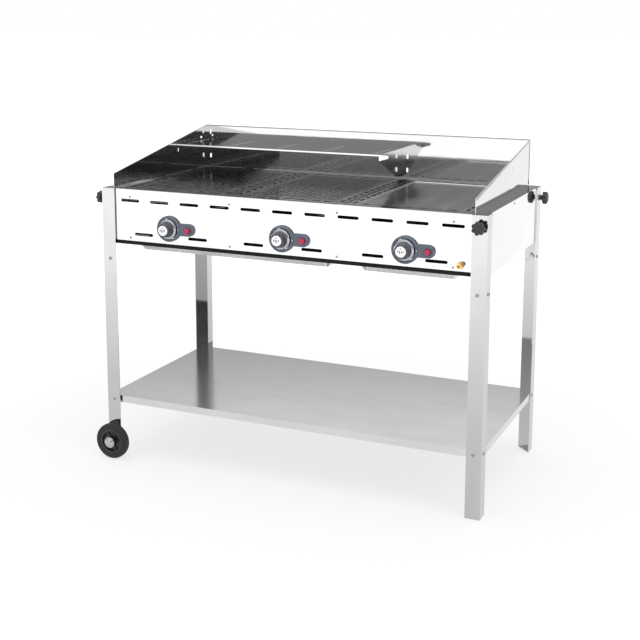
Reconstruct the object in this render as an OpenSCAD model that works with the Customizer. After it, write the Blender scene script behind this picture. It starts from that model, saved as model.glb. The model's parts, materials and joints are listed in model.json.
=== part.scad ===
/* [Stand] */
// Width over the legs
stand_w = 1190; // [900:5:1500]
// Depth over the legs
stand_d = 588; // [500:2:700]
// Height of the cooking surface
top_h = 840; // [780:5:920]
// Width of each leg flange
leg_f = 43; // [35:1:60]
// Leg sheet thickness
leg_t = 2; // [1.5:0.5:3]
// Height of the lower shelf surface
shelf_z = 194; // [120:2:320]
// Height of the lower shelf rim
shelf_rim = 21; // [15:1:40]

/* [Burner box] */
// Height of the burner box
box_h = 167; // [140:1:200]
// Sheet thickness of the box
box_t = 1.5; // [1:0.5:2]
// Set-back of the front cover from the leg faces
front_y = 6; // [5:1:12]
// Height of the dark rail under the front cover
rail_h = 12; // [8:1:20]
// Length of a vent slot
vent_len = 63; // [40:1:80]
// Height of a vent slot
vent_h = 9; // [6:1:12]

/* [Windshield] */
// Height of the rear screen
screen_h = 141; // [100:1:220]
// Height of the side screens at the front
screen_front_h = 43; // [30:1:90]
// Inset of the side screens from the legs
screen_x = 37; // [32:1:46]
// Height of the warming shelf over the cooking surface
warm_h = 95; // [85:1:120]
// Depth of the warming shelf
warm_d = 200; // [120:1:260]

/* [Cooking plates] */
// Left edge of the plate opening
plate_x = 54; // [50:1:60]
// Front edge of the plate opening
plate_y = 32; // [28:1:60]
// Depth of the plates
plate_d = 518; // [440:1:520]
// Height of the plate skirt
plate_skirt = 18; // [12:1:25]
// Length of a drain slot
slot_len = 28; // [16:1:32]
// Width of a drain slot
slot_w = 5; // [3:0.5:7]

// Width of a slot in the border rows
edge_slot_w = 8; // [5:0.5:9]
// Depth of the frying recess in the griddle
recess = 3; // [2:0.5:9]
// Gap between neighbouring plates
plate_gap = 4.4; // [1:0.2:6]

/* [Controls] */
// Distance between neighbouring control knobs
knob_pitch = 367; // [340:1:380]
// Height of the control knobs below the cooking surface
knob_drop = 109; // [100:1:112]
// Diameter of the knob bezel
bezel_d = 77; // [70:1:80]
// Distance from the knob axis to the igniter button
button_x = 67; // [60:1:72]

/* [Drip trays] */
// Width of the wide tray over its rim
tray_wide = 650; // [600:1:660]
// Width of the narrow tray over its rim
tray_narrow = 306; // [280:1:320]
// Depth of both trays over the rim
tray_d = 505; // [400:5:520]

/* [Wheels] */
// Wheel diameter
wheel_d = 110; // [90:1:125]
// Width of the tyre
wheel_w = 24; // [18:1:32]

/* [Hidden] */
$fn = 48;

box_z = top_h - box_h;          // underside of the burner box
wall_x = 4;                     // side panel face, inside the legs
wall_y = stand_d - 4;           // rear panel face
flange_w = 12;                  // folded top edge of a side panel
rim_x = wall_x + flange_w + 1.6;
in_x0 = wall_x + box_t;
in_x1 = stand_w - wall_x - box_t;
in_y1 = wall_y - box_t;
open_w = stand_w - 2 * plate_x; // plate opening
plate_pitch = open_w / 3;
ledge_z = top_h - plate_skirt - 2;
knob_z = top_h - knob_drop;
axle_x = 26;
axle_z = wheel_d / 2;
inlet_x = stand_w - 72;
inlet_z = knob_z - 29;
thread_d = 13.16;               // quarter-inch pipe thread
rail_d = 12;
stud_z = top_h - 32;            // clamping studs at the corners
post_z = box_z - 68;            // lower ends of the corner posts
post_bolt_z = box_z - 47;
shelf_bolt_z = shelf_z - shelf_rim / 2;
shelf_y = 8;                    // front edge of the lower shelf
shelf_gap = 2.2;                // from the leg faces to its other edges
vent_pitch = 100;               // upper vents of the front cover
low_vent_pitch = 182;           // lower vents of the front cover
slot_pitch = 41.5;              // drain slots along a row
row_pitch = 10.1;               // rows of drain slots
screen_y = stand_d - 10.5;      // outer face of the rear screen
warm_x1 = 742;                  // right end of the warming shelf
tray_z = box_z - 19;            // underside of the trays
tray_wall = 16.5;
rim_z = tray_z + tray_wall;     // underside of the tray rims
tray_y = front_y + 16;
tray_x1 = 91;
tray_x2 = stand_w - 78 - tray_narrow;

module place() { translate([-stand_w / 2, -stand_d / 2, 0]) children(); }
function knob_x(i) = stand_w / 2 + (i - 1) * knob_pitch;

// Stadium outline centred on the origin, long side along X
module oblong(len, wid) {
    square([len - wid, wid], center = true);
    for (s = [-1, 1]) translate([s * (len - wid) / 2, 0]) circle(d = wid);
}

// Rectangle with round corners
module round_rect(x0, y0, x1, y1, r) {
    translate([x0 + r, y0]) square([x1 - x0 - 2 * r, y1 - y0]);
    translate([x0, y0 + r]) square([x1 - x0, y1 - y0 - 2 * r]);
    for (x = [x0 + r, x1 - r], y = [y0 + r, y1 - r]) translate([x, y]) circle(r);
}

// Top rim with a stepped ledge for the three plates, between the side flanges
module top_frame() color("gainsboro") place() {
    difference() {
        translate([rim_x, front_y, top_h - box_t])
            cube([stand_w - 2 * rim_x, wall_y - front_y, box_t]);
        translate([plate_x - 0.5, plate_y - 0.5, top_h - 5])
            cube([open_w + 1, plate_d + 1, 10]);
        screen_slots();
        corners() translate([-1, -1, top_h - 5]) cube([leg_f + 3.3, leg_f + 3.3, 10]);
    }
    difference() {
        translate([plate_x - 2, plate_y - 2, ledge_z])
            cube([open_w + 4, plate_d + 4, plate_skirt + 2 - box_t]);
        translate([plate_x - 0.5, plate_y - 0.5, ledge_z + box_t])
            cube([open_w + 1, plate_d + 1, plate_skirt + 5]);
        for (i = [0:2])
            translate([plate_x + i * plate_pitch + 14, plate_y + 14, ledge_z - 1])
                cube([plate_pitch - 28, plate_d - 28, 10]);
    }
}

// Slots in the rim that take the windshield tabs
module screen_slots() {
    for (y = [90, 290, 490], x = [screen_x, stand_w - screen_x])
        translate([x - 1.2, y - 15.5, top_h - 5]) cube([2.4, 31, 10]);
    for (x = [200, 595, 990])
        translate([x - 15.5, screen_y - 1.8, top_h - 5]) cube([31, 2.4, 10]);
}

// Front cover with eleven upper and six lower vent slots
module front_cover() color("whitesmoke") place() {
    difference() {
        translate([in_x0 + 0.2, front_y, box_z + rail_h])
            cube([in_x1 - in_x0 - 0.4, box_t, box_h - rail_h - box_t]);
        for (i = [-5:5]) vent(stand_w / 2 + i * vent_pitch, top_h - 34);
        for (i = [0:5]) vent(stand_w / 2 + (i - 2.5) * low_vent_pitch, top_h - 134);
        for (i = [0:2]) {
            front_hole(knob_x(i), knob_z, 20);
            front_hole(knob_x(i) + button_x, knob_z, 14);
        }
        front_hole(inlet_x, inlet_z, 16);
        front_hole(stand_w - leg_f / 2, stud_z, 9);
        cover_screw_at() cylinder(d = 4.2, h = 20, center = true);
    }
}

module vent(x, z) translate([x, front_y + 5, z]) rotate([90, 0, 0])
    linear_extrude(10) oblong(vent_len, vent_h);

module front_hole(x, z, d) translate([x, front_y + 5, z]) rotate([90, 0, 0])
    cylinder(d = d, h = 10);

module cover_screw_at() {
    for (i = [0:3], z = [top_h - 23, top_h - 146])
        translate([stand_w / 2 + (i - 1.5) * 334, front_y, z]) rotate([90, 0, 0])
            children();
}

// Dark box section that closes the front below the cover
module front_rail() color("dimgray") place() difference() {
    translate([in_x0, front_y + 2, box_z]) cube([in_x1 - in_x0, rail_d, rail_h + 16]);
    translate([in_x0 - 1, front_y + 3.5, box_z + 1.5])
        cube([in_x1 - in_x0 + 2, rail_d, rail_h + 13]);
    translate([inlet_x, front_y + rail_d + 4, inlet_z]) rotate([90, 0, 0])
        cylinder(d = 20, h = rail_d + 4);
    translate([0, 10, 0]) cover_screw_at() cylinder(d = 4.2, h = 20);
}

module side_panel(x) difference() {
    union() {
        translate([x, front_y, box_z]) cube([box_t, wall_y - front_y, box_h - box_t]);
        translate([x < 100 ? x : x + box_t - 14, front_y + rail_d + 3, box_z])
            cube([14, in_y1 - front_y - rail_d - 3, box_t]);
        translate([x < 100 ? x : x + box_t - flange_w, leg_f + 3.3, top_h - box_t - 1])
            cube([flange_w, stand_d - 2 * leg_f - 6.6, box_t + 1]);
    }
    translate([x < 100 ? x + box_t : x - flange_w, 0, top_h - box_t - 2])
        cube([flange_w, stand_d, 2]);
    stud_bores();
    translate([x - 5, front_y - 1, box_z - 1]) cube([10 + box_t, 1.2, box_h]);
    side_screw_at(x) cylinder(d = 3.2, h = 20, center = true);
}

module side_screw_at(x) {
    for (y = [56, 284, 512]) translate([x, y, top_h - 8.5]) rotate([0, 90, 0]) children();
}

module side_panel_left() color("silver") place() side_panel(wall_x);
module side_panel_right() color("silver") place() side_panel(stand_w - wall_x - box_t);

// Rear panel with a row of vents
module rear_panel() color("silver") place() difference() {
    translate([in_x0, in_y1, box_z]) cube([in_x1 - in_x0, box_t, box_h - box_t]);
    stud_bores();
    for (i = [-4:4]) translate([stand_w / 2 + i * 120, wall_y + 5, box_z + 40])
        rotate([90, 0, 0]) linear_extrude(12) oblong(vent_len, vent_h);
}

// Sheet between the burners and the gas controls
module heat_shield() color("gray") place() difference() {
    translate([in_x0, 84, box_z + 14]) cube([in_x1 - in_x0, 1.2, box_h - 64]);
    for (i = [0:2]) translate([knob_x(i), 90, knob_z]) rotate([90, 0, 0])
        cylinder(d = 36, h = 20);
}

// Angle posts inside the legs, hung from the burner box
module corner_posts() color("gray") place() {
    corners() difference() {
        translate([leg_t, leg_t, post_z])
            linear_extrude(top_h - 6 - post_z) angle_2d(leg_f - 3, 2);
        flange_holes(stud_z, 8.4);
        flange_holes(post_bolt_z, 6.2);
    }
    translate([stand_w - leg_f / 2, front_y, stud_z]) rotate([90, 0, 0]) difference() {
        cylinder(d = 16, h = front_y - leg_t - 2);
        translate([0, 0, -1]) cylinder(d = 8.4, h = front_y);
    }
}

// Clearance holes for the clamping studs near the four corners
module stud_bores() corners() flange_holes(stud_z, 9);

module angle_2d(f, t) polygon([[0, 0], [f, 0], [f, t], [t, t], [t, f], [0, f]]);

// Bore through the front or rear flange of one corner angle
module face_hole(z, d) translate([leg_f / 2, 30, z]) rotate([90, 0, 0])
    cylinder(d = d, h = 40);

// Bore through the side flange of one corner angle
module side_hole(z, d) translate([-10, leg_f / 2, z]) rotate([0, 90, 0])
    cylinder(d = d, h = 20);

module flange_holes(z, d) {
    face_hole(z, d);
    side_hole(z, d);
}

// Copies a front left corner piece to the corner right (0 or 1), back (0 or 1)
module corner(right, back) translate([right * stand_w, back * stand_d, 0])
    mirror([right, 0, 0]) mirror([0, back, 0]) children();

module corners() { for (right = [0, 1], back = [0, 1]) corner(right, back) children(); }

// One folded leg, drawn at the front left corner, with its clamp on the side or the face
module leg(z0, on_side) difference() {
    union() {
        translate([0, 0, z0]) linear_extrude(top_h - z0) angle_2d(leg_f, leg_t);
        translate([0, 0, top_h - box_t]) cube([leg_f + 2, leg_f + 2, box_t]);
        translate([0, 0, z0]) linear_extrude(2) polygon([[0, 0], [leg_f, 0], [0, leg_f]]);
    }
    if (on_side) side_hole(stud_z, 8.4);
    else face_hole(stud_z, 8.4);
    flange_holes(post_bolt_z, 6.2);
    flange_holes(shelf_bolt_z, 6.2);
}

module wheel_leg(on_side) difference() {
    leg(30, on_side);
    translate([axle_x, 30, axle_z]) rotate([90, 0, 0]) cylinder(d = 10.2, h = 40);
}

module leg_front_left() color("lightgray") place() wheel_leg(true);
module leg_front_right() color("lightgray") place() corner(1, 0) leg(0, false);
module leg_rear_left() color("lightgray") place() corner(0, 1) wheel_leg(false);
module leg_rear_right() color("lightgray") place() corner(1, 1) leg(0, true);

// Seven-lobed clamping knob on a stud, axis towards -Y, seat at Y = 0
module star_knob() {
    rotate([90, 0, 0]) {
        translate([0, 0, 0.3]) cylinder(d = 17, h = 11);
        translate([0, 0, 10]) cylinder(d = 30, h = 16);
        for (i = [0:6]) rotate([0, 0, i * 360 / 7]) translate([14.4, 0, 10])
            cylinder(d = 9.4, h = 15);
        translate([0, 0, -11]) cylinder(d = 8, h = 12);
    }
}

module star_knob_front_left() color("black") place()
    translate([0, leg_f / 2, stud_z]) rotate([0, 0, -90]) star_knob();
module star_knob_front_right() color("black") place()
    translate([stand_w - leg_f / 2, 0, stud_z]) star_knob();
module star_knob_rear_left() color("black") place()
    translate([leg_f / 2, stand_d, stud_z]) rotate([0, 0, 180]) star_knob();
module star_knob_rear_right() color("black") place()
    translate([stand_w, stand_d - leg_f / 2, stud_z]) rotate([0, 0, 90]) star_knob();

// Round-head screw with a nut, head on Y = 0
module leg_bolt(grip) rotate([90, 0, 0]) {
    cylinder(d = 11, h = 1.6);
    translate([0, 0, 1.6]) cylinder(d1 = 10, d2 = 5, h = 1.9);
    translate([0, 0, -grip - 6]) cylinder(d = 5.8, h = grip + 6);
    translate([0, 0, -grip - 4.6]) cylinder(d = 10, h = 4.6, $fn = 6);
}

module bolts_at(z, front_grip, grip) for (right = [0, 1], back = [0, 1])
    corner(right, back) {
        translate([leg_f / 2, 0, z]) leg_bolt(back == 1 ? grip : front_grip);
        translate([0, leg_f / 2, z]) rotate([0, 0, -90]) leg_bolt(grip);
    }

module post_bolts() color("silver") place() bolts_at(post_bolt_z, 4, 4);
module shelf_bolts() color("silver") place()
    bolts_at(shelf_bolt_z, shelf_y + 1.5, shelf_gap + 1.5);

// Lower shelf, a tray folded down at its edges
module lower_shelf() color("gainsboro") place() difference() {
    translate([shelf_gap, shelf_y, shelf_z - shelf_rim])
        cube([stand_w - 2 * shelf_gap, stand_d - shelf_y - shelf_gap, shelf_rim]);
    translate([shelf_gap + 1.5, shelf_y + 1.5, shelf_z - shelf_rim - 1])
        cube([stand_w - 2 * shelf_gap - 3, stand_d - shelf_y - shelf_gap - 3, shelf_rim - 0.5]);
    corners() flange_holes(shelf_bolt_z, 6.2);
}

// Rear screen standing on the rim, with tabs and oblong hanging slots
module screen_rear() color("lightgray") place() difference() {
    union() {
        translate([screen_x - 0.75, screen_y - 1.2, top_h + 0.3])
            cube([stand_w - 2 * screen_x + 1.5, 1.2, screen_h - 0.3]);
        for (x = [200, 595, 990])
            translate([x - 15, screen_y - 1.2, top_h - 8]) cube([30, 1.2, 9]);
    }
    for (p = [[52, 118], [52, 37], [stand_w - 52, 118], [stand_w - 52, 37],
              [warm_x1 + 20, 69], [warm_x1 + 20, 26]])
        translate([p[0], screen_y + 5, top_h + p[1]]) rotate([90, 90, 0])
            linear_extrude(10) oblong(15, 6);
}

// Side screen with a sloping top, outer face at X = 0
module side_screen() difference() {
    union() {
        translate([0, 0, top_h]) rotate([90, 0, 90]) linear_extrude(1.5)
            polygon([[front_y + 3, 0.3], [screen_y - 1.2, 0.3], [screen_y - 1.2, screen_h],
                [front_y + 3, screen_front_h]]);
        for (y = [90, 290, 490])
            translate([0, y - 15, top_h - 8]) cube([1.5, 30, 9]);
    }
    translate([-5, screen_y - 40, top_h + 102]) rotate([90, 0, 90])
        linear_extrude(10) oblong(12, 7);
    translate([-5, 385, top_h + 75]) rotate([90, 90, 90])
        linear_extrude(10) oblong(14, 4);
}

module screen_left() color("lightgray") place() translate([screen_x - 0.75, 0, 0])
    side_screen();
module screen_right() color("lightgray") place()
    translate([stand_w - screen_x + 0.75, 0, 0]) mirror([1, 0, 0]) side_screen();

// Warming shelf over two thirds of the width, lip along the front
module warming_shelf() color("silver") place() {
    difference() {
        translate([screen_x + 1.25, screen_y - 1.7 - warm_d, top_h + warm_h - 1.5])
            cube([warm_x1 - screen_x - 1.25, warm_d, 1.5]);
        for (k = [0:4], i = [0:5])
            translate([60 + k * 165, screen_y - 165 + i * 26, top_h + warm_h - 5])
                rotate([0, 0, 90]) linear_extrude(10) oblong(16, 6);
    }
    translate([screen_x + 1.25, screen_y - 1.7 - warm_d, top_h + warm_h - 4.5])
        cube([warm_x1 - screen_x - 1.25, 1.5, 4]);
    translate([screen_x + 1.25, screen_y - 3.2, top_h + warm_h - 9])
        cube([warm_x1 - screen_x - 1.25, 1.5, 8]);
}

// Triangular end bracket of the warming shelf
module warming_bracket() color("silver") place() {
    warm_y = screen_y - 1.7 - warm_d;
    translate([warm_x1, 0, top_h + warm_h]) rotate([90, 0, 90]) linear_extrude(1.5)
        polygon([[warm_y, 0], [screen_y - 1.7, 0], [screen_y - 1.7, -warm_h + 4],
            [screen_y - 52, -warm_h + 10], [warm_y, -19]]);
    translate([warm_x1, warm_y + 1.5, top_h + warm_h]) rotate([90, 0, 0])
        linear_extrude(1.5) polygon([[0, 0], [30, -2], [30, -10], [0, -19]]);
    translate([warm_x1 - 14, screen_y - 140, top_h + warm_h - 3]) cube([14, 40, 1.5]);
}

// Plate blank with a folded skirt, drawn for section i
module plate_blank(i) {
    x0 = plate_x + i * plate_pitch + (i == 0 ? 0.8 : plate_gap / 2);
    x1 = plate_x + (i + 1) * plate_pitch - (i == 2 ? 0.8 : plate_gap / 2);
    difference() {
        translate([x0, plate_y + 0.3, ledge_z + box_t + 0.3])
            cube([x1 - x0, plate_d - 0.6, plate_skirt + 0.2]);
        translate([x0 + 3, plate_y + 3.3, ledge_z])
            cube([x1 - x0 - 6, plate_d - 6.6, plate_skirt - 1]);
        border_slots(x0, x1);
    }
}

// Drain slots along the four edges of a plate
module border_slots(x0, x1) {
    for (k = [0:10], x = [x0 + 17, x1 - 17])
        translate([x, plate_y + 34 + k * 44.8, top_h - 8]) rotate([0, 0, 90])
            linear_extrude(20) oblong(slot_len, edge_slot_w);
    for (k = [-3:3], y = [plate_y + 13, plate_y + plate_d - 13])
        translate([(x0 + x1) / 2 + k * slot_pitch, y, top_h - 8])
            linear_extrude(20) oblong(slot_len, edge_slot_w);
}

// Plate with the full field of staggered slots
module grill_plate(i) difference() {
    plate_blank(i);
    for (r = [0:42], k = [-3:3 - r % 2])
        translate([plate_x + (i + 0.5) * plate_pitch + (k + (r % 2) / 2) * slot_pitch,
            plate_y + 46 + r * row_pitch, top_h - 8])
            linear_extrude(20) oblong(slot_len, slot_w);
}

module grill_plate_left() color("dimgray") place() grill_plate(0);
module grill_plate_middle() color("dimgray") place() grill_plate(1);

// Solid griddle with a recessed frying surface
module griddle_plate() color("gray") place() {
    x0 = plate_x + 2 * plate_pitch + 30;
    x1 = plate_x + 3 * plate_pitch - 30;
    difference() {
        union() {
            plate_blank(2);
            translate([x0 - 3, plate_y + 25, top_h - 11])
                cube([x1 - x0 + 6, plate_d - 50, 10]);
        }
        translate([0, 0, top_h - recess]) linear_extrude(20)
            round_rect(x0, plate_y + 28, x1, plate_y + plate_d - 28, 12);
    }
}

// Two-branch tube burner with a central inlet
module burner(i) translate([knob_x(i), 0, knob_z]) difference() {
    union() {
        translate([0, 170, 0]) rotate([90, 0, 0]) cylinder(d = 30, h = 88);
        translate([-88, 160, 0]) rotate([0, 90, 0]) cylinder(d = 26, h = 176);
        for (s = [-1, 1]) translate([s * 76, 530, 0]) rotate([90, 0, 0])
            cylinder(d = 26, h = 370);
    }
    translate([0, 150, 0]) rotate([90, 0, 0]) cylinder(d = 26, h = 80);
    for (s = [-1, 1]) {
        translate([s * 76, 526, 0]) rotate([90, 0, 0]) cylinder(d = 22, h = 350);
        for (k = [0:13]) translate([s * 76, 200 + k * 24, 0]) cylinder(d = 3.6, h = 20);
    }
    translate([-80, 160, 0]) rotate([0, 90, 0]) cylinder(d = 22, h = 160);
}

module burner_left() color("darkgray") place() burner(0);
module burner_middle() color("darkgray") place() burner(1);
module burner_right() color("darkgray") place() burner(2);

// Cross angle that carries the rear ends of the burners
module burner_support() color("gray") place() {
    translate([in_x0, 505, knob_z - 16]) cube([in_x1 - in_x0, 20, 3]);
    translate([in_x0, 522, knob_z - 40]) cube([in_x1 - in_x0, 3, 25]);
}

// Gas pipe along the box with a drop to the inlet
module gas_manifold() color("goldenrod") place() {
    translate([knob_x(0) - 40, front_y + 29, inlet_z]) rotate([0, 90, 0])
        cylinder(d = 18, h = inlet_x - knob_x(0) + 40);
    translate([inlet_x, front_y + 29, inlet_z]) sphere(d = 18);
    translate([inlet_x, front_y + 29, inlet_z]) rotate([90, 0, 0]) cylinder(d = 14, h = 15);
}

// Three valve bodies between the manifold and the cover
module gas_valves() color("goldenrod") place() for (i = [0:2])
    translate([knob_x(i), front_y, knob_z]) difference() {
        union() {
            translate([-13, 10, -14]) cube([26, 36, 28]);
            translate([0, 11, 0]) rotate([90, 0, 0]) cylinder(d = 18, h = 6);
            translate([0, 29, inlet_z - knob_z + 7]) cylinder(d = 12, h = 10);
            translate([0, 74, 0]) rotate([90, 0, 0]) cylinder(d = 9, h = 30);
        }
        translate([0, 24, 0]) rotate([90, 0, 0]) cylinder(d = 8.1, h = 30);
    }

// Brass gas connection: hexagon and a quarter-inch pipe thread
module gas_inlet() color("gold") place()
    translate([inlet_x, front_y + 14, inlet_z]) rotate([90, 0, 0]) difference() {
        union() {
            cylinder(d = 14, h = 16);
            translate([0, 0, 15]) cylinder(d = 19.6, h = 7, $fn = 6);
            translate([0, 0, 22]) cylinder(d = 11.4, h = 3);
            translate([0, 0, 24]) cylinder(d = thread_d, h = 13);
        }
        translate([0, 0, 10]) cylinder(d = 7, h = 50);
    }

// Valve stem on which the knob turns
module stem(i) translate([knob_x(i), front_y + 20, knob_z]) rotate([90, 0, 0])
    cylinder(d = 8, h = 42);

module stem_left() color("silver") place() stem(0);
module stem_middle() color("silver") place() stem(1);
module stem_right() color("silver") place() stem(2);

// Bezel disc with an arm for the igniter button
module bezel(i) translate([knob_x(i), front_y - 0.1, knob_z]) difference() {
    rotate([90, 0, 0]) {
        linear_extrude(7) union() {
            circle(d = bezel_d);
            translate([0, -18]) square([button_x, 36]);
            translate([button_x, 0]) circle(r = 18);
        }
        translate([0, 0, 7]) cylinder(d1 = bezel_d - 1, d2 = bezel_d - 8, h = 3);
        translate([33.8, 0, 7]) cylinder(d = 4, h = 4);
        translate([button_x, 0, 7]) cylinder(d = 25, h = 2.5);
    }
    rotate([90, 0, 0]) {
        translate([0, 0, 7]) cylinder(d = 62, h = 30);
        translate([0, 0, -5]) cylinder(d = 14, h = 30);
        translate([button_x, 0, -5]) cylinder(d = 16.8, h = 30);
    }
}

module bezel_left() color("slategray") place() bezel(0);
module bezel_middle() color("slategray") place() bezel(1);
module bezel_right() color("slategray") place() bezel(2);

// Control knob: bright skirt, fluted grip and a flat face
module knob(i) translate([knob_x(i), front_y - 10.6, knob_z]) rotate([90, 0, 0])
    difference() {
        union() {
            cylinder(d1 = 60, d2 = 57, h = 4);
            translate([0, 0, 4]) cylinder(d = 46, h = 3);
            translate([0, 0, 7]) cylinder(d1 = 44, d2 = 38, h = 20);
            translate([0, 0, 27]) cylinder(d = 34, h = 1.4);
        }
        for (a = [0:11]) rotate([0, 0, a * 30]) translate([24.2, 0, 9])
            cylinder(d = 6, h = 25);
        translate([0, 0, -1]) cylinder(d = 8.1, h = 13);
        translate([-1, 10, 27.6]) cube([2, 8, 2]);
    }

module knob_left() color("gray") place() knob(0);
module knob_middle() color("gray") place() knob(1);
module knob_right() color("gray") place() knob(2);

// Igniter button with a stepped plunger
module button(i) translate([knob_x(i) + button_x, front_y, knob_z]) rotate([90, 0, 0]) {
    translate([0, 0, -14]) cylinder(d = 12, h = 20);
    translate([0, 0, 5]) cylinder(d = 16.2, h = 12);
    translate([0, 0, 17]) cylinder(d1 = 16.2, d2 = 14, h = 2);
}

module button_left() color("crimson") place() button(0);
module button_middle() color("crimson") place() button(1);
module button_right() color("crimson") place() button(2);

// Spark electrodes beside the burner inlets, each on a clip
module igniters() color("white") place() for (i = [0:2])
    translate([knob_x(i) + 52, 0, knob_z]) {
        translate([-6, 148, 13]) cube([12, 24, 1.6]);
        translate([0, 160, 14.6]) cylinder(d = 8, h = 8);
        translate([0, 160, 20.4]) rotate([0, 90, 0]) cylinder(d = 2.4, h = 22);
        translate([0, 88, 18.6]) rotate([-90, 0, 0]) cylinder(d = 3, h = 70);
    }

// Wall section of a tray, swept round its outline
module tray_profile() polygon([[0, tray_wall], [0, tray_wall + 1.2], [9, tray_wall + 1.2],
    [21.5, 1.2], [24, 1.2], [24, 0], [21, 0], [8.5, tray_wall]]);

module tray(x0, w) translate([x0, tray_y, tray_z]) {
    r = 30;
    for (c = [[r, r, 180], [w - r, r, 270], [w - r, tray_d - r, 0], [r, tray_d - r, 90]])
        translate([c[0], c[1], 0]) rotate([0, 0, c[2]]) rotate_extrude(angle = 90)
            translate([r, 0]) mirror([1, 0]) tray_profile();
    for (x = [0, 1]) translate([x * w, x == 0 ? tray_d - r : r, 0]) mirror([x, 0, 0])
        rotate([90, 0, x * 180]) mirror([x, 0, 0])
            linear_extrude(tray_d - 2 * r) tray_profile();
    for (y = [0, 1]) translate([y == 0 ? r : w - r, y * tray_d, 0])
        rotate([90, 0, 90 + y * 180]) linear_extrude(w - 2 * r) tray_profile();
    linear_extrude(1.2) round_rect(23, 23, w - 23, tray_d - 23, 7);
}

module tray_left() color("whitesmoke") place() tray(tray_x1, tray_wide);
module tray_right() color("whitesmoke") place() tray(tray_x2, tray_narrow);

// Channel rails screwed under the box, one each side of each tray
module rail(x) translate([x, tray_y + 38, 0]) {
    translate([0, 0, rim_z - 6]) cube([1.5, tray_d - 30, box_z - rim_z + 7.5]);
    translate([0, 0, rim_z - 1.8]) cube([9, tray_d - 30, 1.5]);
    translate([-13, 0, box_z]) cube([14, tray_d - 30, 1.5]);
}

module tray_rails() color("silver") place() {
    rail(tray_x1 - 2.6);
    rail(tray_x2 - 2.6);
    translate([tray_x1 + tray_wide + 2.6, 0, 0]) mirror([1, 0, 0]) rail(0);
    translate([tray_x2 + tray_narrow + 2.6, 0, 0]) mirror([1, 0, 0]) rail(0);
}

// Flat bars across the box that carry the tray rails
module tray_crossbars() color("silver") place()
    for (y = [tray_y + 60, tray_y + tray_d - 60])
        translate([in_x0, y, box_z + 1.5]) cube([in_x1 - in_x0, 22, 2]);

// Tyre as a turned ring, axis along Y, outer face at Y = 0
module tyre() rotate([-90, 0, 0]) rotate_extrude() polygon([
    [wheel_d / 2 - 17, 2], [wheel_d / 2 - 9, 0], [wheel_d / 2 - 4, 1.5],
    [wheel_d / 2, 6], [wheel_d / 2, wheel_w - 6], [wheel_d / 2 - 4, wheel_w - 1.5],
    [wheel_d / 2 - 9, wheel_w], [wheel_d / 2 - 17, wheel_w - 2]]);

// Spoked hub that turns on the axle
module hub() rotate([-90, 0, 0]) difference() {
    union() {
        difference() {
            cylinder(r = wheel_d / 2 - 17, h = wheel_w - 2);
            translate([0, 0, -1]) cylinder(r = wheel_d / 2 - 24, h = wheel_w);
        }
        translate([0, 0, -2]) cylinder(d = 22, h = wheel_w);
        translate([0, 0, wheel_w / 2 - 1]) cylinder(r = wheel_d / 2 - 23, h = 3);
        for (a = [0:5]) rotate([0, 0, a * 60]) translate([8, -2.5, 4])
            cube([wheel_d / 2 - 28, 5, wheel_w - 10]);
    }
    translate([0, 0, -5]) cylinder(d = 10.1, h = wheel_w + 10);
}

// Axle bolt with a domed cap outside and a nut inside
module axle() rotate([90, 0, 0]) {
    translate([0, 0, -12]) cylinder(d = 10, h = 47);
    translate([0, 0, 35]) cylinder(d = 34, h = 5);
    translate([0, 0, 40]) cylinder(d1 = 32, d2 = 14, h = 6);
    translate([0, 0, -10]) cylinder(d = 17, h = 8, $fn = 6);
}

module wheel_at(rear) translate([axle_x, rear * stand_d, axle_z])
    mirror([0, rear, 0]) children();

module tyre_front() color("black") place() wheel_at(0) translate([0, -32, 0]) tyre();
module tyre_rear() color("black") place() wheel_at(1) translate([0, -32, 0]) tyre();
module hub_front() color("black") place() wheel_at(0) translate([0, -31, 0]) hub();
module hub_rear() color("black") place() wheel_at(1) translate([0, -31, 0]) hub();
module axle_front() color("silver") place() wheel_at(0) axle();
module axle_rear() color("silver") place() wheel_at(1) axle();

// Round-topped blocks that carry the axles on the leg faces
module wheel_mounts() color("black") place() for (r = [0, 1]) wheel_at(r)
    rotate([90, 0, 0]) difference() {
        linear_extrude(6) union() {
            circle(d = 42);
            translate([-21, 0]) square([36, 36]);
            translate([-3, 36]) circle(r = 18);
        }
        translate([0, 0, -1]) cylinder(d = 10.2, h = 20);
    }

module cover_screws() color("silver") place() cover_screw_at() {
    cylinder(d = 7.6, h = 1.8);
    translate([0, 0, -8]) cylinder(d = 4, h = 9);
}

module sheet_screw() {
    cylinder(d = 6, h = 1.4);
    translate([0, 0, -6]) cylinder(d = 3, h = 7);
}

module side_screws() color("silver") place() {
    side_screw_at(stand_w - wall_x) sheet_screw();
    side_screw_at(wall_x) mirror([0, 0, 1]) sheet_screw();
}

top_frame();
front_cover();
front_rail();
side_panel_left();
side_panel_right();
rear_panel();
heat_shield();
corner_posts();
leg_front_left();
leg_front_right();
leg_rear_left();
leg_rear_right();
star_knob_front_left();
star_knob_front_right();
star_knob_rear_left();
star_knob_rear_right();
post_bolts();
shelf_bolts();
lower_shelf();
screen_rear();
screen_left();
screen_right();
warming_shelf();
warming_bracket();
grill_plate_left();
grill_plate_middle();
griddle_plate();
burner_left();
burner_middle();
burner_right();
burner_support();
gas_manifold();
gas_valves();
gas_inlet();
stem_left();
stem_middle();
stem_right();
bezel_left();
bezel_middle();
bezel_right();
knob_left();
knob_middle();
knob_right();
button_left();
button_middle();
button_right();
igniters();
tray_left();
tray_right();
tray_rails();
tray_crossbars();
tyre_front();
tyre_rear();
hub_front();
hub_rear();
axle_front();
axle_rear();
wheel_mounts();
cover_screws();
side_screws();
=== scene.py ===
"""Looks of the charbroiler: materials, detailed pieces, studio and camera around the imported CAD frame."""
import json
import math
import bmesh
import bpy
from mathutils import Matrix, Vector


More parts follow.
